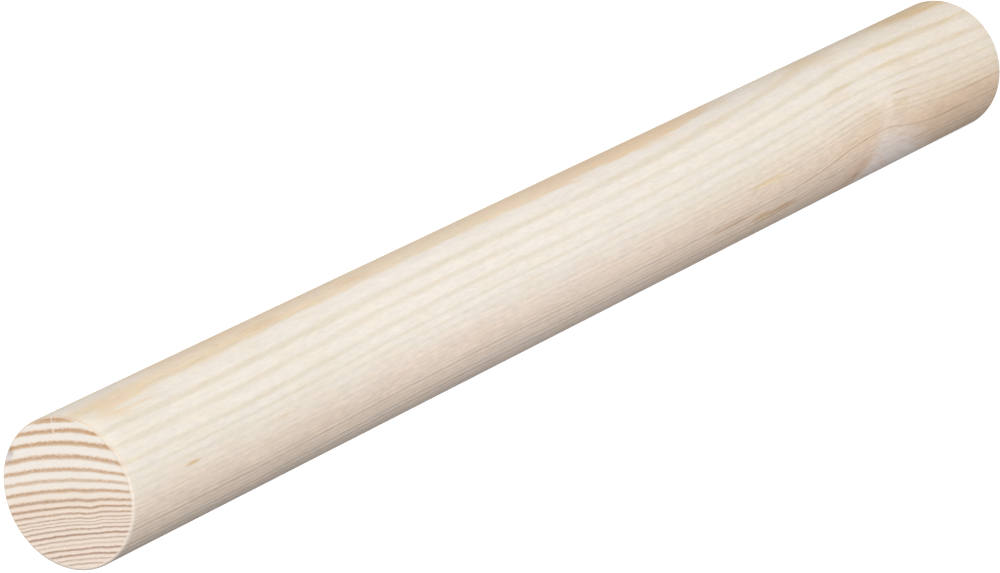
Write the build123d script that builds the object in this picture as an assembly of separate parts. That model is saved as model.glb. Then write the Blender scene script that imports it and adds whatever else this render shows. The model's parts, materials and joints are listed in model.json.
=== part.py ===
from build123d import *
import os

# A straight round dowel rod of planed softwood, cut square at both ends.
#
# The rod stands on one end. The origin is the centre of the bottom end face, and +Z runs up
# the rod's axis. All sizes are in millimetres.

# Driving dimensions
ROD_DIAMETER = 28.0   # finished diameter, a stock dowel size
ROD_LENGTH = 320.0    # from sawn face to sawn face
ARRIS_RADIUS = 0.4    # the sharp edge round each sawn end, eased with fine paper


def arris_quarter(centre_radius, centre_height, start_angle):
    """The eased edge of one end: a quarter circle, tangent to the end face and to the side."""
    return CenterArc((centre_radius, centre_height), ARRIS_RADIUS, start_angle, 90)


def half_section():
    """Half of the rod's lengthwise section, in the plane of X and Z, closed along the axis."""
    rod_radius = ROD_DIAMETER / 2
    flat_radius = rod_radius - ARRIS_RADIUS
    side_top = ROD_LENGTH - ARRIS_RADIUS
    with BuildSketch(Plane.XZ) as section:
        with BuildLine():
            Line((0, 0), (flat_radius, 0))
            arris_quarter(flat_radius, ARRIS_RADIUS, start_angle=-90)
            Line((rod_radius, ARRIS_RADIUS), (rod_radius, side_top))
            arris_quarter(flat_radius, side_top, start_angle=0)
            Line((flat_radius, ROD_LENGTH), (0, ROD_LENGTH))
            Line((0, ROD_LENGTH), (0, 0))
        make_face()
    return section.sketch


def dowel_rod():
    """The one solid of the object: the half section turned once round the axis."""
    rod = revolve(half_section(), axis=Axis.Z)
    rod.label = "dowel_rod"
    return rod


def main():
    rod = dowel_rod()
    os.makedirs("parts", exist_ok=True)
    export_step(rod, f"parts/{rod.label}.step")
    size = rod.bounding_box().size
    print(f"{rod.label}: {size.X:.2f} x {size.Y:.2f} x {size.Z:.2f} mm, {rod.volume:.0f} mm3")


main()
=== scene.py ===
# %% [markdown]
# # A round softwood rod
# The object is one piece of pine, turned round and straight, sawn square at both ends, with its end
# edges eased by a touch of sandpaper. A plain cylinder with a wood picture wrapped round it would
# show grain that doesn't agree between the side and the ends. Here the growth rings are made once,
# as sheets that run through the whole solid, and the side and both ends only cut through them, as
# the lathe and the saw do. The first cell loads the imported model, which fixes size and place.

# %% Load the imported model
import json
import math
import bpy
from mathutils import Matrix, Vector

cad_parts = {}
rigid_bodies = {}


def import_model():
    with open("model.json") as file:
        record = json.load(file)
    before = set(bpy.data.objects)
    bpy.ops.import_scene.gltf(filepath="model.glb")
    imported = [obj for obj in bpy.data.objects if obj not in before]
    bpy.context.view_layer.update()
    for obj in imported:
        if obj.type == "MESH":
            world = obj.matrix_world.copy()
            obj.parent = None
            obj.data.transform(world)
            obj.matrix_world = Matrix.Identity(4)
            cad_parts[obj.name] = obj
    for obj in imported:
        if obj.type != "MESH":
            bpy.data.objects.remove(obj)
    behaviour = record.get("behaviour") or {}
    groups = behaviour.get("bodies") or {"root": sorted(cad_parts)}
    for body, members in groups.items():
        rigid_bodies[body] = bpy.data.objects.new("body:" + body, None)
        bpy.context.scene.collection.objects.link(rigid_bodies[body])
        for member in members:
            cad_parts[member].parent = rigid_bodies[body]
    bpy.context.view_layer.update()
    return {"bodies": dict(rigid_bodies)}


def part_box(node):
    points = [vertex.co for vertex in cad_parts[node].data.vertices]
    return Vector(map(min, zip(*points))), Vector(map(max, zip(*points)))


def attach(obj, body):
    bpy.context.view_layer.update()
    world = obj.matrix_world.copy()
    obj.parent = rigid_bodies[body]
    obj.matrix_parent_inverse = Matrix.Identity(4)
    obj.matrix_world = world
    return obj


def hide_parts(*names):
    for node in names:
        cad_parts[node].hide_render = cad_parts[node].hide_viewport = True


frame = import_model()
BODY = next(iter(frame["bodies"]))
rod_low, rod_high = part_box("dowel_rod")
print("rod from", list(rod_low), "to", list(rod_high))

# %% Sizes of the rod
MM = 0.001
ROD_DIAMETER = rod_high.x - rod_low.x
ROD_LENGTH = rod_high.z - rod_low.z
RADIUS_MM = ROD_DIAMETER / 2 / MM
LENGTH_MM = ROD_LENGTH / MM
EASED_EDGE = 0.4 * MM
print(f"diameter {ROD_DIAMETER / MM:.1f} mm, length {LENGTH_MM:.1f} mm")

# %% [markdown]
# # Writing nodes as arithmetic
# Both the shape and the finish follow the same rings, and both kinds of node tree have Math nodes.
# Placing those nodes one by one is slow to read, so a small class wraps a socket and overloads the
# operators: an expression on values adds its Math nodes. Every other node comes from one method,
# which takes the node's type, its settings, and then the values or links of its sockets.


# %% A number on a node tree
class Number:
    """A number that changes over the wood. Arithmetic on it adds Math nodes."""

    def __init__(self, bench, socket):
        self.bench = bench
        self.socket = socket

    def math(self, operation, *others):
        """Adds a Math node that starts from this number."""
        values = dict(enumerate((self, *others)))
        return self.bench.number("ShaderNodeMath", {"operation": operation}, values)

    def back(self, operation, first):
        """The same with the plain number first, so that 1 - mask works."""
        values = {0: first, 1: self}
        return self.bench.number("ShaderNodeMath", {"operation": operation}, values)

    def __add__(self, other):
        return self.math("ADD", other)

    def __radd__(self, other):
        return self.back("ADD", other)

    def __sub__(self, other):
        return self.math("SUBTRACT", other)

    def __rsub__(self, other):
        return self.back("SUBTRACT", other)

    def __mul__(self, other):
        return self.math("MULTIPLY", other)

    def __rmul__(self, other):
        return self.back("MULTIPLY", other)

    def __truediv__(self, other):
        return self.math("DIVIDE", other)

    def __rtruediv__(self, other):
        return self.back("DIVIDE", other)

    def __pow__(self, other):
        return self.math("POWER", other)

    def __abs__(self):
        return self.math("ABSOLUTE")

    def between(self, start, end):
        """0 at start, 1 at end and a soft step between them, in either order."""
        settings = {"interpolation_type": "SMOOTHSTEP"}
        values = {"Value": self, "From Min": start, "From Max": end}
        return self.bench.number("ShaderNodeMapRange", settings, values)

    def ramped(self, start, end, low, high):
        """A straight ramp from low at start to high at end, held beyond them."""
        values = {"Value": self, "From Min": start, "From Max": end, "To Min": low, "To Max": high}
        return self.bench.number("ShaderNodeMapRange", {"clamp": True}, values)

    def near(self, centre, inner, outer):
        """1 within inner of the centre, falling softly to 0 at outer."""
        return abs(self - centre).between(outer, inner)

    def curve(self, points):
        """Reads a drawn curve: a list of (place, value), straight between its points."""
        places = [place for place, _ in points]
        values = [value for _, value in points]
        low, high = min(values), max(values)
        span = (high - low) or 1.0
        first, last = places[0], places[-1]
        drawn = [((p - first) / (last - first), (v - low) / span) for p, v in points]
        share = self.ramped(first, last, 0.0, 1.0)
        read = self.bench.number("ShaderNodeFloatCurve", {"points": drawn}, {"Value": share})
        return read * span + low


# %% A node tree and the one way that nodes get onto it
NOISE_STRETCH = 2.6  # raw noise keeps near the middle of 0 to 1, so it is stretched to about -1 to 1


class Bench:
    """A node tree that is being built."""

    def __init__(self, tree):
        self.tree = tree

    def node(self, kind, settings=None, values=None):
        """Adds a node: its type, its settings, then the values or links of its sockets."""
        made = self.tree.nodes.new(kind)
        for name, setting in (settings or {}).items():
            if name == "points":
                self.draw(made.mapping, setting)
            else:
                setattr(made, name, setting)
        for name, value in (values or {}).items():
            socket = made.inputs[name]
            if isinstance(value, Number):
                self.tree.links.new(value.socket, socket)
            else:
                socket.default_value = value
        return made

    def draw(self, mapping, points):
        """Gives a curve node its points, with straight lines between them."""
        mapping.use_clip = False
        line = mapping.curves[0].points
        for _ in range(len(points) - len(line)):
            line.new(0.5, 0.5)
        for point, place in zip(line, points):
            point.location = place
            point.handle_type = "VECTOR"
        mapping.update()

    def number(self, kind, settings=None, values=None, out=0):
        """Adds a node and wraps one of its results."""
        return Number(self, self.node(kind, settings, values).outputs[out])

    def numbers(self, kind, settings, values, count):
        """As number, for a node whose first few results are all wanted."""
        made = self.node(kind, settings, values)
        return [Number(self, made.outputs[i]) for i in range(count)]

    def triple(self, x, y, z):
        return self.number("ShaderNodeCombineXYZ", None, {"X": x, "Y": y, "Z": z})

    def split(self, place):
        return self.numbers("ShaderNodeSeparateXYZ", None, {"Vector": place}, 3)

    def noise(self, x, y, z, detail=2.0, roughness=0.5):
        """Soft noise of about -1 to 1. Its grain is one unit of x, y and z across."""
        values = {"Vector": self.triple(x, y, z), "Scale": 1.0, "Detail": detail, "Roughness": roughness}
        read = self.number("ShaderNodeTexNoise", {"noise_dimensions": "3D"}, values)
        return (read - 0.5) * NOISE_STRETCH

    def blend(self, share, first, second):
        """Mixes two colours."""
        settings = {"data_type": "RGBA", "clamp_factor": True}
        return self.number("ShaderNodeMix", settings, {0: share, 6: first, 7: second}, out=2)


def paint(red, green, blue):
    """A colour as a painter's chart gives it, from 0 to 255, turned into light values."""
    chart = [value / 255 for value in (red, green, blue)]
    light = [c / 12.92 if c < 0.04045 else ((c + 0.055) / 1.055) ** 2.4 for c in chart]
    return (*light, 1.0)


print("a mid grey of the chart is", [round(v, 3) for v in paint(128, 128, 128)[:3]], "in light values")

# %% [markdown]
# # The growth rings
# Each year the tree lays down a pale, soft band and then a thin, dense, darker one. On this rod the
# sheets lie almost flat across the end: wide rings of 2 mm on one side, narrow ones under 1 mm on the
# other, all bowed a little because the heart of the tree lies far below. Rings could be drawn as evenly
# spaced circles, but real ones differ from year to year, so they come from a given list: the distance of
# each dark band from the one above it in millimetres, and how dark it looks on the end and on the side.

# %% The years, from the bark side inwards
FIRST_BAND_AT = 16.35
YEARS = [
    (0.0, 0.60, 0.60), (2.92, 1.00, 1.00), (2.1, 0.90, 0.95), (2.2, 0.88, 0.85), (2.5, 0.78, 0.93),
    (2.3, 0.78, 0.82), (1.95, 0.62, 0.58), (1.8, 0.78, 0.75), (1.85, 0.74, 0.85), (1.25, 0.78, 1.00),
    (1.1, 0.68, 0.80), (0.9, 0.62, 0.38), (0.6, 0.50, 0.38), (0.55, 0.62, 0.48), (0.8, 0.70, 0.75),
    (1.0, 1.10, 1.55), (0.95, 0.56, 0.60), (0.8, 0.34, 0.30), (0.85, 0.92, 1.05), (1.05, 0.95, 1.70),
    (0.88, 0.48, 0.50), (0.8, 0.66, 1.00), (0.75, 0.38, 0.50), (0.8, 0.65, 0.80), (0.8, 0.50, 0.60),
    (0.75, 0.70, 0.90), (0.9, 0.45, 0.50), (0.8, 0.75, 0.90), (0.9, 0.45, 0.55), (0.9, 0.60, 0.70),
    (0.8, 0.50, 0.60),
]
band_heights = []
height = FIRST_BAND_AT
for width, on_end, on_side in YEARS:
    height -= width
    band_heights.append(height)
RING_NUMBERS = [(at, float(i)) for i, at in enumerate(band_heights)][::-1]
END_DARKNESS = [(float(i), year[1]) for i, year in enumerate(YEARS)]
SIDE_DARKNESS = [(float(i), year[2]) for i, year in enumerate(YEARS)]
print(len(YEARS), "years, from", band_heights[0], "down to", round(band_heights[-1], 2), "mm")

# %% [markdown]
# # How the sheets bend
# Along the rod the sheets drift outwards by about a millimetre, and near the lower end they swell round a
# side branch that lies just under the surface, which carpenters call a pin knot. The sheets rise slowly
# towards it, are creased at it, and fall away. Noise alone would bend them anywhere, so the drift and the
# swelling are drawn curves, and noise only adds the small waves.

# %% Curves for the bending, in millimetres
# BOW and TILT shape a sheet across the end. DRIFT moves the sheets along the rod, and DRIFT_SHARE
# says how much at each height. SWELLING is the rise at the branch. RISE_LENGTH and FALL_LENGTH say
# how far before the crease and past it the rise is down to half. Heights are measured from the axis.
BOW = [
    (-13, 0.0042), (-4, 0.002), (-1, 0.0032), (2, 0.005), (5, 0.0082), (9, 0.0084), (11, 0.0075),
    (13, 0.004),
]
TILT = [(-13, 0.11), (-8, 0.113), (-4, 0.092), (2, 0.041), (5, 0.013), (8, 0.013), (13, 0.062)]
DRIFT = [
    (0, 0.0), (40, 0.0), (64, 0.5), (86, 1.12), (109, 1.33), (128, 1.3), (147, 1.12), (186, 1.25),
    (205, 1.4), (320, 1.4),
]
DRIFT_SHARE = [
    (-20, 0.86), (-4, 0.88), (0, 1.0), (8, 1.0), (10, 0.65), (12, 0.38), (14, 0.20), (16, 0.20),
]
SWELLING = [
    (-14, 3.6), (-2.3, 3.9), (2.2, 3.4), (7.0, 3.25), (8.4, 2.65), (12.8, 2.5), (14, 2.65),
]
RISE_LENGTH = [(-14, 16), (-4.3, 20), (0, 27), (4, 37), (6, 44), (9, 46), (12.6, 46), (14, 36)]
FALL_LENGTH = [
    (-14, 9), (-8, 9.5), (-4, 12.5), (-1, 13), (1.8, 15), (4, 24), (6, 36), (7.8, 38), (9.8, 66),
    (12.2, 80), (13.6, 160),
]
CREASE_AT = 271.0
CREASE_LEAN = 0.75


def grow_rings(bench, place):
    """The rings at a point of the solid. Works in a shape tree and in a finish tree.

    up is towards the bark, across is level with the sheets, and down runs from the upper end, all in
    millimetres. number counts the dark bands from the bark side, and phase says how far the nearest
    one is, in years, from -0.5 to 0.5.
    """
    x, y, z = bench.split(place)
    up = x / MM
    across = y / -MM
    down = LENGTH_MM - z / MM
    flat_height = up + up.curve(BOW) * across * across - up.curve(TILT) * across
    past_crease = down - (flat_height * CREASE_LEAN + CREASE_AT)
    is_past = past_crease.math("GREATER_THAN", 0.0)
    rise = flat_height.curve(RISE_LENGTH)
    fall = flat_height.curve(FALL_LENGTH)
    reach = rise + is_past * (fall - rise)
    rise_sharpness = flat_height.ramped(-3.0, 0.0, 3.2, 2.4) + flat_height.between(12.4, 14.0) * 0.8
    fall_sharpness = flat_height.ramped(-2.0, 1.5, 1.9, 1.2)
    sharpness = rise_sharpness + is_past * (fall_sharpness - rise_sharpness)
    swelling = flat_height.curve(SWELLING) / ((abs(past_crease) / reach) ** sharpness + 1.0)
    swelling = swelling * across.between(-13.0, -3.0)
    drift = down.curve(DRIFT) * flat_height.curve(DRIFT_SHARE)
    waves = bench.noise(up / 4.0, across / 4.0, down / 45.0, detail=1.0)
    fingers = bench.noise(up / 1.6, across / 1.6, down / 9.0, detail=3.0)
    finger_size = up.between(9.0, 13.0) * 0.12 + 0.09
    beads = bench.noise(up / 0.45, across / 0.45, down / 4.0, detail=2.0)
    # Two places on one side of the rod where the sheets sag a little.
    dip = across.near(4.2, 0.3, 2.8) * flat_height.near(-3.0, 2.0, 5.5)
    shoulder = across.between(3.5, 7.5) * flat_height.near(11.6, 0.6, 1.5) * down.between(245.0, 200.0)
    tree_height = flat_height - drift - swelling + dip * 0.24 + shoulder * 0.42
    tree_height = tree_height + waves * 0.11 + fingers * finger_size + beads * 0.07
    number = tree_height.curve(RING_NUMBERS)
    phase = number - number.math("ROUND")
    return {
        "up": up, "across": across, "down": down, "flat_height": flat_height,
        "tree_height": tree_height, "past_crease": past_crease, "number": number, "phase": phase,
    }


# %% [markdown]
# # The turned shape
# The rod is a surface of revolution with eased edges, closed by two flat ends. Spinning a profile
# leaves a star of thin triangles at each end's middle, where the rings would look ragged, so the
# ends are square nets pressed out to a disc. The side is another net, rolled up, whose columns meet
# the discs' rims one to one. Geometry Nodes do it, because the shape follows a rule: row and column
# give radius, angle and height, and a last step sinks the soft bands by some hundredths of a
# millimetre, as the saw and the sandpaper leave them.

# %% Sizes of the net
NET_STEPS = 140
COLUMNS = 4 * NET_STEPS
EDGE_ROWS = 6
SIDE_ROWS = 80
ROWS = SIDE_ROWS + 2 * EDGE_ROWS
SIDE_RELIEF = 0.012 * MM
END_RELIEF = 0.035 * MM
WELD_WITHIN = 0.01 * MM
print("triangles:", 2 * COLUMNS * ROWS + 4 * NET_STEPS ** 2)


# %% A shape tree with named inputs
def start_shape_tree(name, sizes):
    """A new tree that takes one input for each named size and gives back one geometry."""
    tree = bpy.data.node_groups.new(name, "GeometryNodeTree")
    tree.interface.new_socket("Geometry", in_out="OUTPUT", socket_type="NodeSocketGeometry")
    for label, value in sizes.items():
        kind = "NodeSocketInt" if isinstance(value, int) else "NodeSocketFloat"
        socket = tree.interface.new_socket(label, in_out="INPUT", socket_type=kind)
        socket.default_value = value
    return tree


SIZES = {
    "Diameter": ROD_DIAMETER,
    "Length": ROD_LENGTH,
    "Eased edge": EASED_EDGE,
    "Columns": COLUMNS,
    "Net steps": NET_STEPS,
    "Side relief": SIDE_RELIEF,
    "End relief": END_RELIEF,
}
rod_tree = start_shape_tree("turned rod", SIZES)
shape = Bench(rod_tree)
entry = shape.node("NodeGroupInput")
diameter, length, edge, columns, steps, side_relief, end_relief = (
    Number(shape, entry.outputs[label]) for label in SIZES
)
radius = diameter / 2.0
print("inputs of the tree:", [item.name for item in rod_tree.interface.items_tree])


# %% The side: a net rolled up round the axis
# On the flat map the side fills the band from 0.33 up, and the two end discs lie side by side below it.
def mesh_grid(width_count, height_count):
    """A flat net, one unit square, and its own flat map."""
    made = shape.node(
        "GeometryNodeMeshGrid", None,
        {"Size X": 1.0, "Size Y": 1.0, "Vertices X": width_count, "Vertices Y": height_count},
    )
    return Number(shape, made.outputs[0]), Number(shape, made.outputs[1])


def moved(mesh, place):
    """Puts each point of a net at a place that is worked out for it."""
    return shape.number("GeometryNodeSetPosition", None, {"Geometry": mesh, "Position": place})


def with_map(mesh, place):
    """Lays the surface out flat, for when the finish is baked to a picture."""
    settings = {"data_type": "FLOAT2", "domain": "CORNER"}
    values = {"Geometry": mesh, "Name": "OFBake", "Value": place}
    return shape.number("GeometryNodeStoreNamedAttribute", settings, values)


here_x, here_y, here_z = shape.split(shape.number("GeometryNodeInputPosition"))
side_net, side_uv = mesh_grid(columns + 1.0, ROWS + 1)
turn = (here_x + 0.5) * math.tau
row = (here_y + 0.5) * float(ROWS)
lower_turn = row.ramped(0.0, EDGE_ROWS, 0.0, math.pi / 2)
upper_turn = row.ramped(ROWS - EDGE_ROWS, ROWS, 0.0, math.pi / 2)
straight = row.ramped(EDGE_ROWS, ROWS - EDGE_ROWS, 0.0, 1.0)
row_radius = radius - edge * (1.0 - lower_turn.math("SINE")) - edge * (1.0 - upper_turn.math("COSINE"))
row_height = edge * (1.0 - lower_turn.math("COSINE")) + straight * (length - edge * 2.0)
row_height = row_height + edge * upper_turn.math("SINE")
side_place = shape.triple(turn.math("COSINE") * row_radius, turn.math("SINE") * row_radius, row_height)
uv_x, uv_y, _ = shape.split(side_uv)
side = with_map(side_net, shape.triple(uv_y * 0.98 + 0.01, uv_x * 0.66 + 0.33, 0.0))
side = moved(side, side_place)
print("side:", COLUMNS, "columns by", ROWS, "rows")


# %% An end: a square net pressed out to a disc
TIE = 1e-5  # on a diagonal of the square neither side leads, and this settles it
DISC_MAP_SIZE = 0.30
DISC_MAP_UP = 0.16


def end_disc(height, map_x, face_up):
    """Each square ring of the net becomes a circle: the longer way gives its radius."""
    net, _ = mesh_grid(steps + 1.0, steps + 1.0)
    a = here_x * 2.0
    b = here_y * 2.0
    a_leads = abs(a).math("GREATER_THAN", abs(b) - TIE)
    reach = abs(a).math("MAXIMUM", abs(b)) * (radius - edge)
    sign = (a_leads * a + (1.0 - a_leads) * b).math("SIGN")
    share = (a_leads * b + (1.0 - a_leads) * a) / (a_leads * a + (1.0 - a_leads) * b)
    angle = share * (math.pi / 4)
    long_way = angle.math("COSINE") * reach * sign
    short_way = angle.math("SINE") * reach * sign
    x = a_leads * long_way + (1.0 - a_leads) * short_way
    y = a_leads * short_way + (1.0 - a_leads) * long_way
    disc = moved(net, shape.triple(x, y, height))
    if not face_up:
        disc = shape.number("GeometryNodeFlipFaces", None, {"Mesh": disc})
    map_place = here_x / diameter * DISC_MAP_SIZE + map_x
    map_height = here_y / diameter * DISC_MAP_SIZE + DISC_MAP_UP
    return with_map(disc, shape.triple(map_place, map_height, 0.0))


top_end = end_disc(length, map_x=0.16, face_up=True)
bottom_end = end_disc(length * 0.0, map_x=0.48, face_up=False)
print("ends: two discs of", NET_STEPS, "by", NET_STEPS, "faces")

# %% Join the three nets, weld them, and sink the soft bands
joined = shape.node("GeometryNodeJoinGeometry")
for net in (side, top_end, bottom_end):
    rod_tree.links.new(net.socket, joined.inputs[0])
joined = Number(shape, joined.outputs[0])
welded = shape.number("GeometryNodeMergeByDistance", None, {"Geometry": joined, "Distance": WELD_WITHIN})
rings = grow_rings(shape, shape.number("GeometryNodeInputPosition"))
hard_wood = rings["phase"].near(0.04, 0.05, 0.26) * rings["number"].curve(END_DARKNESS)
soft_wood = 1.0 - hard_wood
from_axis = (here_x * here_x + here_y * here_y).math("SQRT")
from_middle = abs(here_z - length / 2.0)
on_end = from_axis.between(radius - edge, radius - edge * 2.2)
on_side = from_middle.between(length / 2.0 - edge, length / 2.0 - edge * 4.0)
inward_side = soft_wood * on_side * side_relief / radius
inward_end = soft_wood * on_end * end_relief * (here_z - length / 2.0).math("SIGN")
is_side = from_axis.math("GREATER_THAN", radius - edge * 0.01)
is_end = 1.0 - from_axis.math("GREATER_THAN", radius - edge * 1.01)
sunk = shape.triple(
    here_x * (1.0 - inward_side * is_side),
    here_y * (1.0 - inward_side * is_side),
    here_z - inward_end * is_end,
)
sanded = moved(welded, sunk)
print("nodes in the shape tree so far:", len(rod_tree.nodes))

# %% [markdown]
# # The finish
# Bare pine has no varnish: it is pale and matt, and all its character is in the rings. On the ends
# the dark bands are tan lines with a darker core, crossed by fine rays. On the side the same bands
# are cut at a slant, so they are broad, pale and soft where a sheet runs along the surface and fine
# lines where it meets the surface squarely. The material reads Object coordinates, so the pattern
# belongs to the solid and not to a wrapping.

# %% Colours of the wood
END_PALE = paint(239, 231, 221)
END_PALE_NARROW = paint(237, 221, 206)
END_TAN = paint(210, 173, 136)
END_TAN_NARROW = paint(205, 176, 153)
END_CORE = paint(187, 151, 120)
END_CORE_NARROW = paint(168, 142, 126)
SIDE_PALE = paint(238, 230, 220)
SIDE_PALE_NARROW = paint(240, 223, 208)
SIDE_DARK = paint(213, 201, 173)
SIDE_DARK_NARROW = paint(203, 185, 169)
TOP_TAN = paint(237, 218, 192)
TOP_ORANGE = paint(233, 207, 175)
WEDGE_GREY = paint(238, 227, 220)
EDGE_WORN = paint(226, 212, 194)
EDGE_PALE = paint(233, 221, 208)

softwood = bpy.data.materials.new("bare pine")
softwood.use_nodes = True
softwood.node_tree.nodes.clear()
finish = Bench(softwood.node_tree)
object_place = finish.number("ShaderNodeTexCoord", None, None, out=3)
wood = grow_rings(finish, object_place)
print("colours are set")

# %% Where on the rings a point lies
up, across, down = wood["up"], wood["across"], wood["down"]
tree_height, past_crease = wood["tree_height"], wood["past_crease"]
level, number, phase = wood["flat_height"], wood["number"], wood["phase"]
from_centre = (across * across + up * up).math("SQRT")
narrow = tree_height.between(4.0, -6.0)
print("ring values read")

# %% [markdown]
# # Fibres
# Wood cells are long and thin and lie along the trunk, so every speck on the side is drawn out that
# way, and the ends show the same cells cut across. One noise can't do both the fine and the broad,
# so there are several, each with its own width and length. The rays are other cells: they run out
# from the heart of the tree like spokes, so their noise is laid on lines that meet at the heart.


# %% Fibres, rays and cloudy patches
def grain(width, length, detail, roughness=0.5, thickness=None):
    """Noise with specks of this width and length in millimetres, lying along the rod."""
    thickness = thickness or width
    return finish.noise(
        up / thickness, across / width, down / length, detail=detail, roughness=roughness
    )


fibre = grain(0.30, 12.0, detail=3.0)
streak = grain(1.4, 35.0, detail=2.0)
cloud = grain(7.0, 40.0, detail=1.0)
flecks = grain(0.55, 2.4, detail=3.0, roughness=0.6)
patches = grain(1.3, 7.0, detail=3.0, roughness=0.6)
flames = grain(1.2, 8.0, detail=2.0)
blush = grain(1.6, 11.0, detail=2.0)
pores = grain(0.20, 0.9, detail=1.0)
grit = grain(0.75, 0.9, detail=2.0, roughness=0.6, thickness=0.35)
HEART_DEPTH = 45.0
ray_place = across * HEART_DEPTH / (up + HEART_DEPTH)
rays = finish.noise(ray_place / 0.28, up / 4.0, down / 2.0, detail=2.0)
print("fibres added")


# %% Tints: a colour is multiplied where a mask says so
def tinted(colour, share, tint):
    """Multiplies a colour by a tint, as far as the share says."""
    settings = {"data_type": "RGBA", "blend_type": "MULTIPLY", "clamp_factor": True}
    return finish.number("ShaderNodeMix", settings, {0: share, 6: colour, 7: (*tint, 1.0)}, out=2)


# %% [markdown]
# # Grain on the ends
# A saw cuts straight across the sheets, so a band shows at its true width. Two soft steps on the
# phase draw it, one for each side, with a little noise so that its edges look torn, and a narrower
# step gives its darker core. One pale ray crosses the two bands nearest the bark, and a small bruise
# and a damp spot lie at the rim.

# %% End grain
end_darkness = number.curve(END_DARKNESS)
end_narrow = tree_height.between(3.0, -3.0)
end_phase = phase + rays * 0.024 + pores * 0.022 + grit * 0.055
end_band = end_phase.between(-0.31 - end_narrow * 0.04, -0.07 - end_narrow * 0.03)
end_band = end_band * end_phase.between(0.28 + end_narrow * 0.05, 0.07 + end_narrow * 0.01)
end_band = end_band.math("MAXIMUM", tree_height.between(12.60, 13.00) * 0.8)
end_band = end_band * end_darkness * (1.10 + end_narrow * 0.07 + rays * 0.25 + pores * 0.18 + grit * 0.55)
ray_line = across.near(-1.0, 0.05, 0.30) * up.between(9.8, 11.0) * (grit * 0.6 + 0.6)
end_band = end_band * (1.0 - ray_line)
end_pale = finish.blend(end_narrow, END_PALE, END_PALE_NARROW)
end_tan = finish.blend(tree_height.between(-3.0, -7.0), END_TAN, END_TAN_NARROW)
end_core = finish.blend(end_narrow, END_CORE, END_CORE_NARROW)
is_core = end_phase.near(-0.04, 0.02, 0.14) * 0.8 + end_narrow * 0.2 + pores * 0.15
end_colour = finish.blend(end_band, end_pale, finish.blend(is_core, end_tan, end_core))
print("dark bands of the ends drawn")

# %% Marks on the upper end
by_rim = from_centre.between(12.5, 13.6) * across.between(3.0, 7.0) * up.between(2.5, 5.0)
end_colour = tinted(end_colour, by_rim * end_band, (1.01, 0.925, 0.74))
bruise = up.near(7.6, 0.3, 1.4) * across.near(-11.7, 0.4, 1.7)
bruise = bruise * (1.0 - from_centre.between(12.6, 13.5) * 0.5)
end_colour = tinted(end_colour, bruise, (0.55, 0.46, 0.46))
damp = up.near(6.4, 0.3, 1.5) * across.near(-12.0, 0.3, 1.6)
end_colour = tinted(end_colour, damp, (0.86, 0.85, 0.94))
end_tone = rays * 0.028 + pores * 0.038 + grit * 0.028 + cloud * 0.010
print("end grain added")

# %% [markdown]
# # Grain on the side
# The lathe cuts each sheet at its own slant, so the same band is broad and faint in one place and
# narrow and dark in another. SLANT gives how strong a band looks at each height. Near the hidden
# branch that isn't enough: bands are dark just before and just past the crease, a pale strip crosses
# them at the crease, and lower down the wood is smoother. Each of these is a mask with soft sides,
# placed by its distance from the upper end or from the crease, that scales the bands up or down.

# %% Side grain: the bands along the whole rod
SLANT = [
    (-14, 1.0), (-8, 0.74), (-4, 0.42), (-2, 0.31), (1.5, 0.33), (4, 0.40), (9, 0.38), (12, 0.50),
    (14, 0.95),
]
broken = (streak * 0.45 + patches * 0.70 + 0.98).math("MAXIMUM", 0.08)
side_band = phase.between(-0.26, -0.03) * phase.between(0.29, 0.03) * number.curve(SIDE_DARKNESS)
print("bands of the side drawn")

# %% Side grain: how the branch changes the bands
knot_side = level.between(1.5, 4.5) * past_crease.between(-1.0, 1.5)
by_knot = knot_side * (past_crease.between(18.0, 6.0) * 0.15 + past_crease.between(48.0, 20.0) * 0.14)
before_knot = down.near(257.0, 5.0, 10.0) * level.between(-1.0, 2.0) * up.between(12.9, 12.0)
by_knot = by_knot + before_knot * 0.45
past_knot = down.near(282.0, 4.0, 10.0) * level.near(7.0, 1.0, 2.5)
by_knot = by_knot + past_knot * 0.5
smoothed = past_crease.between(-2.0, 2.0) * level.between(0.0, -4.0)
strong_band = number.near(15.0, 0.35, 0.6)
smoothed = smoothed * (past_crease.between(36.0, 18.0) * 0.35 + 0.45) * (1.0 - strong_band * 0.75)
calm = past_crease.between(-30.0, -12.0) * past_crease.between(1.0, -1.0) * level.near(-6.0, 1.5, 3.5)
print("branch masks made")

# %% Side grain: the pale strip, the dark crest of one band, and the fainter stretches
strip = (down + patches).between(265.8, 269.8) * (down + flecks).between(274.9, 273.1)
strip = strip * level.between(-3.8, -2.4) * level.between(8.0, 5.5) * across.between(0.0, 5.0)
crest = strong_band * down.between(224.0, 247.0) * past_crease.between(14.0, 2.0)
side_band = side_band * up.curve(SLANT) * broken * (1.0 + by_knot + crest * 0.4)
side_band = side_band * (1.0 - strip * 0.6 * (1.0 - crest)) * (1.0 - smoothed)
side_band = side_band * (1.0 - calm * 0.35 * (1.0 - strong_band))
faint = down.between(160.0, 120.0) * level.near(-0.5, 1.5, 3.5)
side_band = side_band * (1.0 - faint * 0.4)
bare_top = down.between(205.0, 225.0) * 0.5 + down.between(266.0, 276.0) * 0.5
bare_top = bare_top * down.between(300.0, 288.0) * up.between(12.2, 13.4)
side_band = side_band * (1.0 - bare_top * 0.65)
print("bands of the side shaded")

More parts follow.
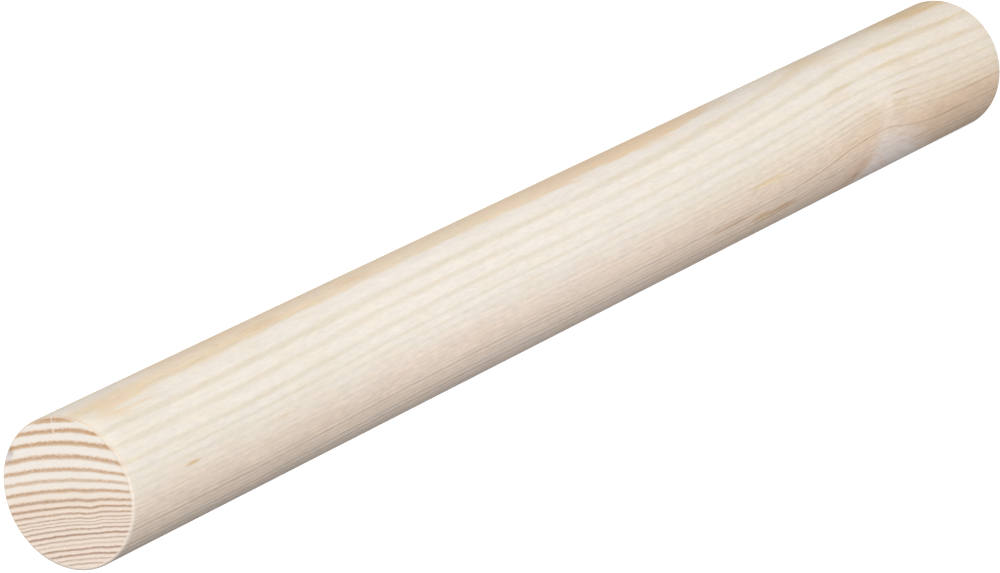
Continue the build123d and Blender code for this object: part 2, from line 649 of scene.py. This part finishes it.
# %% Side grain: colour and speckle
side_pale = finish.blend(narrow, SIDE_PALE, SIDE_PALE_NARROW)
side_dark = finish.blend(tree_height.between(0.5, -3.5), SIDE_DARK, SIDE_DARK_NARROW)
side_dark = tinted(side_dark, down.between(250.0, 285.0), (1.03, 0.975, 0.865))
side_dark = finish.blend(up.between(11.5, 13.6) * 0.4, side_dark, TOP_ORANGE)
side_colour = finish.blend(side_band, side_pale, side_dark)
side_colour = tinted(side_colour, blush.between(-0.25, 0.45), (1.005, 0.983, 0.955))
dense = tree_height.between(-1.5, -7.0)
side_tone = fibre * (dense * 0.070 + 0.016) + streak * 0.014 + cloud * 0.010
side_tone = side_tone + flecks * (narrow * 0.060 + 0.082) + patches * (dense * 0.055 + 0.060)
print("side grain added")

# %% [markdown]
# # The tan cap
# Along the top of the rod the lathe has cut one dark band almost along its own sheet, so it is a
# long tan patch and not a line. Its border is where the sheet dives below the surface, so it is a
# step on the height of the sheets, and long tongues of noise make it run out like flames.

# %% The cap: its shape
tongues = grain(1.1, 15.0, detail=3.0, roughness=0.65, thickness=2.2)
widens = down.between(125.0, 150.0) * down.between(215.0, 195.0)
narrows = down.between(72.0, 90.0) * down.between(135.0, 118.0)
wander = widens - narrows
cap_height = tree_height + flames * 0.65 + tongues * 0.95 + flecks * 0.40
cap_height = cap_height + down.between(28.0, 10.0) * 0.65 + wander * 0.12
cap = cap_height.between(12.64, 13.60)
cap = cap * (1.0 - across.between(3.0, 0.0) * down.between(34.0, 20.0) * 0.85)
cap = cap * (1.0 - down.between(8.0, 2.0) * 0.8) * (patches * 0.30 + 0.85)
print("cap drawn")

# %% The cap: its colour
cap_colour = finish.blend(down.between(125.0, 185.0), TOP_TAN, TOP_ORANGE)
cap_colour = tinted(cap_colour, blush.between(0.0, 0.5), (1.0, 0.960, 0.885))
cap_colour = tinted(cap_colour, blush.between(0.1, -0.5), (1.01, 0.960, 0.965))
cap_colour = tinted(cap_colour, patches.between(0.0, 0.6), (0.970, 0.935, 0.890))
cap_colour = tinted(cap_colour, tongues.between(-0.1, -0.6), (1.02, 1.025, 1.035))
cap_colour = tinted(cap_colour, across.between(3.0, -2.5), (0.955, 0.935, 0.905))
side_colour = finish.blend(cap, side_colour, cap_colour)
print("cap coloured")

# %% [markdown]
# # Stains and marks on the side
# Wood is never evenly coloured along its length. Round the hidden branch lie a warm tan zone before the
# crease, a pale strip at it, a cool grey wedge just past it where the fibres dive under the surface, and
# darker, browner wood from there to the lower end. Resin and minerals gather there, and the tan zone and
# the grey wedge are also a painted sheen of fibres that slope to the surface: browner where they rise,
# greyer where they dive. Each is a soft mask that tints the colour, placed by its height and by its
# distance from the crease or from the upper end. Two narrow bands along the edges of the side are painted
# shade.

# %% Stains along the whole rod
handled = down.between(105.0, 35.0) * (1.0 - up.between(12.6, 13.8) * across.between(5.0, 1.0))
side_colour = tinted(side_colour, handled, (0.955, 0.952, 0.935))
warm = down.between(140.0, 230.0)
side_colour = tinted(side_colour, warm, (0.985, 0.978, 0.965))
side_colour = tinted(side_colour, warm * narrow, (0.985, 0.955, 0.925))
print("long stains added")

# %% Stains towards the lower end, and a painted shade along the top of its side
far = down.between(268.0, 296.0)
side_colour = tinted(side_colour, far, (0.965, 0.950, 0.925))
side_colour = tinted(side_colour, far * tree_height.between(-3.0, -6.0), (0.950, 0.930, 0.905))
side_colour = tinted(side_colour, far * tree_height.between(-2.9, -3.7), (0.960, 0.938, 0.912))
middle_strip = up.near(1.0, 1.5, 4.5) * across.between(0.0, 6.0) * down.between(165.0, 200.0)
side_colour = tinted(side_colour, middle_strip, (0.998, 1.012, 0.996))
brown_top = down.between(234.0, 250.0) * down.between(294.0, 280.0) * level.between(13.3, 13.8)
side_colour = tinted(side_colour, brown_top * (patches * 0.6 + 0.8), (0.990, 0.955, 0.900))
orange_top = down.between(290.0, 304.0) * level.between(13.3, 13.8) * (patches * 0.5 + 0.8)
side_colour = tinted(side_colour, orange_top, (0.950, 0.870, 0.780))
# painted shade: a cool grey band along the top of the side, on the side away from the camera, near the
# lower end
shaded_far_edge = down.between(252.0, 276.0) * across.between(1.0, -2.5) * across.between(-9.0, -5.0)
side_colour = tinted(side_colour, shaded_far_edge, (0.900, 0.910, 0.930))
print("lower end stained")

# %% Stains before the crease, partly a painted sheen
before = past_crease.between(-26.0, -10.0) * past_crease.between(-1.0, -5.0)
middle_wood = tree_height.between(0.5, -2.0) * (1.0 - level.between(-4.0, -6.5) * 0.6)
# partly painted sheen: the fibres rising to the surface before the crease are made browner
side_colour = tinted(side_colour, before * middle_wood * (patches * 0.3 + 0.8), (0.960, 0.920, 0.870))
at_wedge = past_crease.between(-14.0, -3.0) * past_crease.between(0.8, -0.8) * level.between(-4.0, -8.0)
at_wedge = at_wedge * across.between(0.0, 6.0)
side_colour = tinted(side_colour, at_wedge * (patches * 0.4 + 0.8), (0.955, 0.910, 0.885))
deep = at_wedge * past_crease.between(-9.0, -3.0) * level.between(-6.0, -8.5) * (patches * 0.5 + 0.7)
side_colour = tinted(side_colour, deep, (0.930, 0.875, 0.840))
print("wood before the crease stained")

# %% The grey wedge past the crease, with the fibres fanning out in it, partly a painted sheen
wedge_width = (level + 1.5) * -2.8
wedge_foot = level.between(-5.0, -10.0) * 1.4
in_wedge = (past_crease - wedge_foot + fibre * 0.6 + patches * 0.6).between(-2.4, 2.0)
in_wedge = in_wedge * (past_crease - wedge_width).between(8.0, -5.0)
in_wedge = in_wedge * level.between(-2.0, -5.6) * across.between(0.0, 6.0)
fan = finish.noise((past_crease + level * 3.8) / 2.8, level / 7.0, across / 9.0, detail=3.0)
# partly painted sheen: the fibres diving under the surface past the crease are made paler and greyer
side_colour = finish.blend(in_wedge * (fan * 0.4 + 0.72), side_colour, WEDGE_GREY)
side_colour = tinted(side_colour, in_wedge * fan.between(0.0, -0.4), (0.940, 0.900, 0.865))
side_colour = tinted(side_colour, in_wedge * level.between(-5.5, -8.5), (1.04, 1.04, 1.06))
print("wedge added")

# %% Small differences of tone near the strip and along the lower side, with painted shade at its edge
by_strip = down.near(271.0, 5.0, 14.0) * up.near(-2.0, 1.0, 2.5) * across.between(0.0, 5.0)
side_colour = tinted(side_colour, by_strip, (0.975, 0.975, 0.980))
lower_far = down.between(275.0, 283.0) * down.between(304.0, 296.0) * across.between(0.0, 5.0)
side_colour = tinted(side_colour, lower_far * up.between(-4.0, -6.5), (1.020, 1.025, 1.032))
# painted shade: a darker, cooler strip along the lower edge of the side near the upper end
shaded_low_edge = up.between(-10.4, -11.6) * down.between(72.0, 50.0) * across.between(0.0, 5.0)
side_colour = tinted(side_colour, shaded_low_edge, (0.905, 0.920, 0.945))
side_colour = tinted(side_colour, strip * 0.8, (1.02, 1.03, 1.04))
side_colour = tinted(side_colour, crest * side_band, (0.92, 0.82, 0.74))
print("stains added")

# %% Small marks: resin flecks and scars, each a soft spot on the surface
# A mark gives its angle from the top of the side, its distance from the upper end, its half width
# and half length in millimetres, and its tint.
around = across.math("ARCTAN2", up) * RADIUS_MM


def spot(around_degrees, down_mm, half_width, half_length):
    """1 inside a small oval on the side that lies along the grain, fading at its ragged edge."""
    sideways = (around - math.radians(around_degrees) * RADIUS_MM) / half_width
    lengthways = (down - down_mm) / half_length
    distance = (sideways * sideways + lengthways * lengthways).math("SQRT")
    return (distance + fibre * 0.25).between(1.15, 0.35)


RESIN = (0.90, 0.74, 0.54)
SCAR = (0.80, 0.70, 0.62)
PITCH = (0.965, 0.925, 0.860)
HONEY = (0.985, 0.955, 0.910)
MARKS = [
    (88.0, 18.5, 0.45, 2.6, RESIN), (87.0, 47.0, 0.35, 2.2, (0.95, 0.88, 0.78)),
    (93.0, 221.0, 0.60, 9.0, (0.975, 0.925, 0.76)), (115.5, 207.0, 0.55, 11.0, (0.82, 0.73, 0.64)),
    (117.5, 247.0, 0.30, 4.0, (0.84, 0.76, 0.69)), (124.2, 229.0, 0.95, 7.0, (0.82, 0.70, 0.60)),
    (122.6, 220.0, 0.80, 4.5, (0.91, 0.78, 0.62)), (127.5, 223.0, 0.90, 5.0, (0.94, 0.88, 0.76)),
    (125.0, 287.0, 0.22, 4.0, SCAR), (133.0, 261.0, 0.8, 2.2, SCAR),
    (8.0, 46.0, 0.5, 1.6, (0.93, 0.88, 0.82)), (9.0, 60.0, 1.6, 9.0, (0.965, 0.90, 0.83)),
    (6.0, 92.0, 1.3, 8.0, (0.97, 0.91, 0.84)), (30.0, 285.0, 0.8, 9.0, HONEY),
    (47.0, 281.0, 0.6, 8.0, HONEY), (48.2, 258.0, 0.6, 7.0, PITCH), (34.0, 309.0, 0.7, 5.0, PITCH),
    (50.8, 311.0, 0.6, 5.0, PITCH), (73.0, 278.0, 0.28, 3.2, (0.90, 0.83, 0.75)),
    (81.5, 277.5, 0.5, 4.5, (0.95, 0.89, 0.78)), (96.8, 309.0, 0.24, 13.0, (0.84, 0.76, 0.67)),
    (110.5, 298.0, 0.28, 9.0, (0.89, 0.79, 0.70)), (121.0, 287.0, 0.30, 6.0, (0.86, 0.77, 0.70)),
    (55.0, 284.0, 1.5, 8.0, HONEY), (56.0, 256.0, 1.5, 8.0, HONEY),
    (12.0, 267.0, 2.4, 8.0, (0.975, 0.925, 0.855)), (26.0, 14.0, 9.0, 14.0, (0.972, 0.972, 0.965)),
    (13.0, 13.0, 1.8, 8.0, (0.975, 0.970, 0.955)),
]
for around_degrees, down_mm, half_width, half_length, tint in MARKS:
    side_colour = tinted(side_colour, spot(around_degrees, down_mm, half_width, half_length), tint)
print(len(MARKS), "marks on the side")

# %% [markdown]
# # The eased edge
# Sandpaper has rounded the sharp edge of each end by less than half a millimetre. The broken fibres there
# hide the dark bands, so a pale line runs round each end. On the side towards the camera and on the low
# side the line is broader and paler, a painted highlight on the round edge. It is one mask of the
# distance from the axis and from the end. Where the round edge faces the lamps it would look brighter
# than real wood does, so the mask also carries a darker tint there, a painted shade.

# %% Put the ends, the side and the pale eased edge together
from_mid_length = abs(down - LENGTH_MM / 2)
is_end_grain = from_mid_length.between(LENGTH_MM / 2 - 0.30, LENGTH_MM / 2 - 0.10)
# painted highlight: on the side towards the camera and on the low side the pale rim is broader and paler
edge_highlight = across.between(6.0, 10.0).math("MAXIMUM", up.between(-9.0, -12.0))
rim = (from_centre + edge_highlight * 0.32).between(RADIUS_MM - 0.45, RADIUS_MM - 0.20)
rim = rim * from_mid_length.between(LENGTH_MM / 2 - 0.55, LENGTH_MM / 2 - 0.20)
colour = finish.blend(is_end_grain, side_colour, end_colour)
colour = finish.blend(rim * 0.7, colour, finish.blend(edge_highlight, EDGE_WORN, EDGE_PALE))
lit_left = across.between(2.0, -8.0)
lit_top = up.between(-1.0, 7.0)
# painted shade: darker tints where the round edge faces the lamps, on the left and at the top
colour = tinted(colour, rim * lit_left, (0.84, 0.835, 0.840))
turned = from_centre.between(RADIUS_MM - 0.42, RADIUS_MM - 0.20)
colour = tinted(colour, rim * turned * lit_top * (1.0 - lit_left), (0.825, 0.805, 0.775))
tone = side_tone + is_end_grain * (end_tone - side_tone)
lightened = finish.node(
    "ShaderNodeVectorMath", {"operation": "SCALE"}, {0: colour, "Scale": tone + 1.0}
)
colour = Number(finish, lightened.outputs[0])
print("edge added")

# %% The shader itself
BARE_WOOD_ROUGHNESS = 0.68
BARE_WOOD_SHEEN = 0.35
FIBRE_HEIGHT = 0.05 * MM
grain_height = fibre * 0.5 + side_band * 0.6
bump = finish.node(
    "ShaderNodeBump", None, {"Strength": 0.25, "Distance": FIBRE_HEIGHT, "Height": grain_height}
)
shader = finish.node(
    "ShaderNodeBsdfPrincipled", None,
    {
        "Base Color": colour,
        "Roughness": BARE_WOOD_ROUGHNESS - side_band * 0.10 + fibre * 0.03,
        "Normal": Number(finish, bump.outputs[0]),
        "Specular IOR Level": BARE_WOOD_SHEEN,
    },
)
finish.node("ShaderNodeOutputMaterial", None, {"Surface": Number(finish, shader.outputs[0])})
print("nodes in the finish:", len(softwood.node_tree.nodes))

# %% Finish the shape tree and turn it into a plain mesh
smooth = shape.number("GeometryNodeSetShadeSmooth", None, {"Geometry": sanded, "Shade Smooth": True})
single = shape.number("GeometryNodeRealizeInstances", None, {"Geometry": smooth})
coated = shape.number("GeometryNodeSetMaterial", None, {"Geometry": single, "Material": softwood})
shape.node("NodeGroupOutput", None, {0: coated})


def plain_mesh(name, tree, sizes):
    """Runs a shape tree once and keeps the result as a plain mesh object."""
    host = bpy.data.objects.new(name, bpy.data.meshes.new(name + " start"))
    bpy.context.scene.collection.objects.link(host)
    modifier = host.modifiers.new("shape", "NODES")
    modifier.node_group = tree
    for item in tree.interface.items_tree:
        if item.in_out == "INPUT" and item.name in sizes:
            modifier[item.identifier] = sizes[item.name]
    graph = bpy.context.evaluated_depsgraph_get()
    result = bpy.data.meshes.new_from_object(
        host.evaluated_get(graph), preserve_all_data_layers=True, depsgraph=graph
    )
    host.modifiers.remove(modifier)
    while result.materials and result.materials[0] is None:
        result.materials.pop(index=0)
    host.data = result
    result.name = name
    return host


rod = plain_mesh("pine_rod", rod_tree, SIZES)
print("rod mesh:", len(rod.data.vertices), "points,", len(rod.data.polygons), "faces")
print("materials:", [m.name for m in rod.data.materials], "maps:", [u.name for u in rod.data.uv_layers])

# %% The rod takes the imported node's place
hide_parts("dowel_rod")
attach(rod, BODY)

# %% [markdown]
# # Camera, floor and light
# A long lens from well above the upper end, with the camera rolled until the rod lies across the
# picture, shows the end grain and most of the side with almost no perspective. The floor is a plain
# pale sheet that the camera sees as white, but it still keeps the rod's soft shadow.

# %% Camera
CAMERA_AT = Vector((0.26801, -0.67534, 1.17588))
AIM_AT = Vector((-0.00418, 0.00812, 0.16663))
ROLL = math.radians(-116.235)
LENS = 232.65
FILM_WIDTH = 36.0
camera_data = bpy.data.cameras.new("camera")
camera_data.lens = LENS
camera_data.sensor_width = FILM_WIDTH
camera = bpy.data.objects.new("camera", camera_data)
camera.rotation_mode = "QUATERNION"
camera.location = CAMERA_AT
look = (AIM_AT - CAMERA_AT).to_track_quat("-Z", "Y").to_matrix()
camera.rotation_quaternion = (look @ Matrix.Rotation(ROLL, 3, "Z")).to_quaternion()
bpy.context.scene.collection.objects.link(camera)
bpy.context.scene.camera = camera
print("camera", round((AIM_AT - CAMERA_AT).length, 3), "m from its aim")

# %% Floor
FLOOR_HALF = 6.0
FLOOR_GAP = 0.0002
FLOOR_GREY = (0.60, 0.60, 0.60, 1.0)
FLOOR_GREY_TO_ROD = (0.15, 0.15, 0.15, 1.0)
FLOOR_GLOW = 0.72
WHITE = (1.0, 1.0, 1.0, 1.0)
BLACK = (0.0, 0.0, 0.0, 1.0)
floor_mesh = bpy.data.meshes.new("floor")
signs = ((-1, -1), (1, -1), (1, 1), (-1, 1))
corners = [(x_sign * FLOOR_HALF, y_sign * FLOOR_HALF, -FLOOR_GAP) for x_sign, y_sign in signs]
floor_mesh.from_pydata(corners, [], [(0, 1, 2, 3)])
floor = bpy.data.objects.new("floor", floor_mesh)
bpy.context.scene.collection.objects.link(floor)
floor_look = bpy.data.materials.new("pale floor")
floor_look.use_nodes = True
floor_look.node_tree.nodes.clear()
sheet = Bench(floor_look.node_tree)
path = sheet.node("ShaderNodeLightPath")
seen_ray = Number(sheet, path.outputs["Is Camera Ray"])
glossy_ray = Number(sheet, path.outputs["Is Glossy Ray"])
clear_ray = Number(sheet, path.outputs["Is Transmission Ray"])
direct = (seen_ray + glossy_ray + clear_ray).math("MINIMUM", 1.0)
floor_tint = sheet.blend(direct, FLOOR_GREY_TO_ROD, FLOOR_GREY)
floor_shader = sheet.node(
    "ShaderNodeBsdfPrincipled", None,
    {
        "Base Color": floor_tint,
        "Roughness": 0.9,
        "Emission Color": sheet.blend(direct, BLACK, WHITE),
        "Emission Strength": FLOOR_GLOW,
        "Specular IOR Level": 0.0,
    },
)
sheet.node("ShaderNodeOutputMaterial", None, {"Surface": Number(sheet, floor_shader.outputs[0])})
floor_mesh.materials.append(floor_look)
print("floor is", FLOOR_HALF * 2, "m wide")

# %% Lamps
LAMP_DISTANCE = 4.5
WORLD_GLOW = 0.1


def soft_lamp(name, around, above, strength, size):
    """A square soft box. around is its angle from +X towards -Y, above its height angle."""
    turn_angle, rise_angle = math.radians(around), math.radians(above)
    towards = Vector((
        math.cos(turn_angle) * math.cos(rise_angle),
        -math.sin(turn_angle) * math.cos(rise_angle),
        math.sin(rise_angle),
    ))
    data = bpy.data.lights.new(name, "AREA")
    data.shape = "SQUARE"
    data.size = size
    data.energy = strength * math.pi ** 2 * LAMP_DISTANCE ** 2
    lamp = bpy.data.objects.new(name, data)
    middle = Vector((0, 0, ROD_LENGTH / 2))
    lamp.location = middle + towards * LAMP_DISTANCE
    lamp.rotation_mode = "QUATERNION"
    lamp.rotation_quaternion = (-towards).to_track_quat("-Z", "Y")
    bpy.context.scene.collection.objects.link(lamp)


soft_lamp("front softbox", around=69, above=28, strength=1.06, size=2.7)
soft_lamp("side softbox", around=-27, above=49, strength=0.71, size=2.7)
soft_lamp("low fill behind", around=-110, above=3, strength=0.45, size=0.7)
world = bpy.data.worlds.new("studio")
world.use_nodes = True
world.node_tree.nodes["Background"].inputs["Color"].default_value = WHITE
world.node_tree.nodes["Background"].inputs["Strength"].default_value = WORLD_GLOW
bpy.context.scene.world = world
bpy.context.scene.view_settings.view_transform = "Standard"
